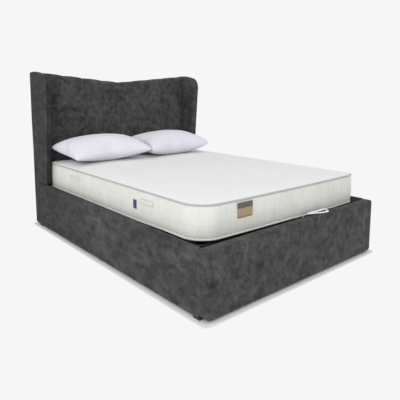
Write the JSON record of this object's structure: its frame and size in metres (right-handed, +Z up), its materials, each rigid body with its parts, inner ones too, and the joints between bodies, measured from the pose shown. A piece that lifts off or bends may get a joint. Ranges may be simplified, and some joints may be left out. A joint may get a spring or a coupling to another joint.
{
  "type": "ottoman bed",
  "caption": "King-size ottoman storage bed in dark grey velvet with a winged, channelled headboard; the slatted platform with its mattress and pillows lifts on side arms with gas struts.",
  "frame": {"origin": "on the floor, under the middle of the bed", "axes": "+Z up, +Y towards the headboard, -Y towards the foot end, +X to the right as seen from the foot"},
  "size_m": [1.62, 2.32, 1.3452],
  "materials": {
    "upholstery": "dark grey crushed velvet, matt with soft streaks",
    "base_cloth": "thin black dust cloth",
    "timber": "unfinished softwood",
    "board": "plain chipboard and plywood",
    "sprung_slat": "varnished bent beech ply",
    "black_steel": "black powder coat",
    "zinc_steel": "zinc plated",
    "rod_steel": "polished rod",
    "black_plastic": "moulded, matt",
    "mattress_cloth": "quilted off-white knit, cream border",
    "white_piping": "pale woven tape over cord",
    "label_cloth": "woven patch, grey above and tan below, no lettering",
    "tag_cloth": "small purple cloth tag, no lettering",
    "pillow_cotton": "smooth white cotton",
    "webbing": "grey woven webbing"
  },
  "bodies": {
    "base": {"floor_beam": "timber", "floor_boards": "board", "foot_corner_brackets": "zinc_steel", "foot_panel_core": "board", "foot_panel_cover": "upholstery", "frame_bolts": "zinc_steel", "glides": "black_plastic", "headboard_back_cloth": "base_cloth", "headboard_board": "board", "headboard_brackets": "zinc_steel", "headboard_crossrails": "timber", "headboard_lower_pad": "upholstery", "headboard_pad": "upholstery", "headboard_posts": "timber", "left_floor_ledge": "timber", "left_lower_plate": "black_steel", "left_side_rail_board": "board", "left_side_rail_cover": "upholstery", "left_wing_board": "board", "left_wing_cover": "upholstery", "lower_pins": "zinc_steel", "plate_screws": "zinc_steel", "right_floor_ledge": "timber", "right_lower_plate": "black_steel", "right_side_rail_board": "board", "right_side_rail_cover": "upholstery", "right_wing_board": "board", "right_wing_cover": "upholstery", "wing_bolts": "zinc_steel"},
    "rear_arms": {"left_rear_arm": "black_steel", "right_rear_arm": "black_steel"},
    "front_arms": {"left_front_arm": "black_steel", "right_front_arm": "black_steel", "front_arm_pins": "zinc_steel"},
    "strut_cylinders": {"strut_cylinders": "black_steel"},
    "strut_rods": {"strut_rods": "rod_steel"},
    "platform": {"left_upper_bracket": "black_steel", "right_upper_bracket": "black_steel", "rear_arm_pins": "zinc_steel", "bracket_screws": "zinc_steel", "left_platform_tube": "black_steel", "right_platform_tube": "black_steel", "head_platform_tube": "black_steel", "foot_platform_tube": "black_steel", "centre_platform_tube": "black_steel", "left_slats": "sprung_slat", "right_slats": "sprung_slat", "slat_caps": "black_plastic", "pull_strap": "webbing", "strap_clamp": "black_steel", "mattress": "mattress_cloth", "mattress_piping": "white_piping", "mattress_handles": "mattress_cloth", "mattress_label": "label_cloth", "mattress_tag": "tag_cloth", "left_pillow": "pillow_cotton", "right_pillow": "pillow_cotton"}
  },
  "joints": [
    {"name": "rear_arm_swing", "type": "hinge", "parent": "base", "child": "rear_arms", "pos_m": [0, 0.638, 0.216], "axis": [1, 0, 0], "range_deg": [0, 32.3]},
    {"name": "platform_lift", "type": "hinge", "parent": "rear_arms", "child": "platform", "pos_m": [0, 0.777, 0.346], "axis": [-1, 0, 0], "range_deg": [0, 62]},
    {"name": "front_arm_swing", "type": "hinge", "parent": "base", "child": "front_arms", "pos_m": [0, 0.237, 0.175], "axis": [1, 0, 0], "range_deg": [0, 21.16]},
    {"name": "strut_cylinder_swing", "type": "hinge", "parent": "base", "child": "strut_cylinders", "pos_m": [0, 0.57025, 0.06801], "axis": [1, 0, 0], "range_deg": [0, 10.73]},
    {"name": "strut_rod_swing", "type": "hinge", "parent": "front_arms", "child": "strut_rods", "pos_m": [0, 0.56218, 0.30445], "axis": [-1, 0, 0], "range_deg": [0, 10.73]}
  ],
  "couplings": [
    {"joint": "rear_arm_swing", "follows": "platform_lift", "ratio": 0.51613},
    {"joint": "front_arm_swing", "follows": "platform_lift", "ratio": 0.33652},
    {"joint": "strut_cylinder_swing", "follows": "platform_lift", "ratio": 0.16826},
    {"joint": "strut_rod_swing", "follows": "platform_lift", "ratio": 0.16826}
  ]
}
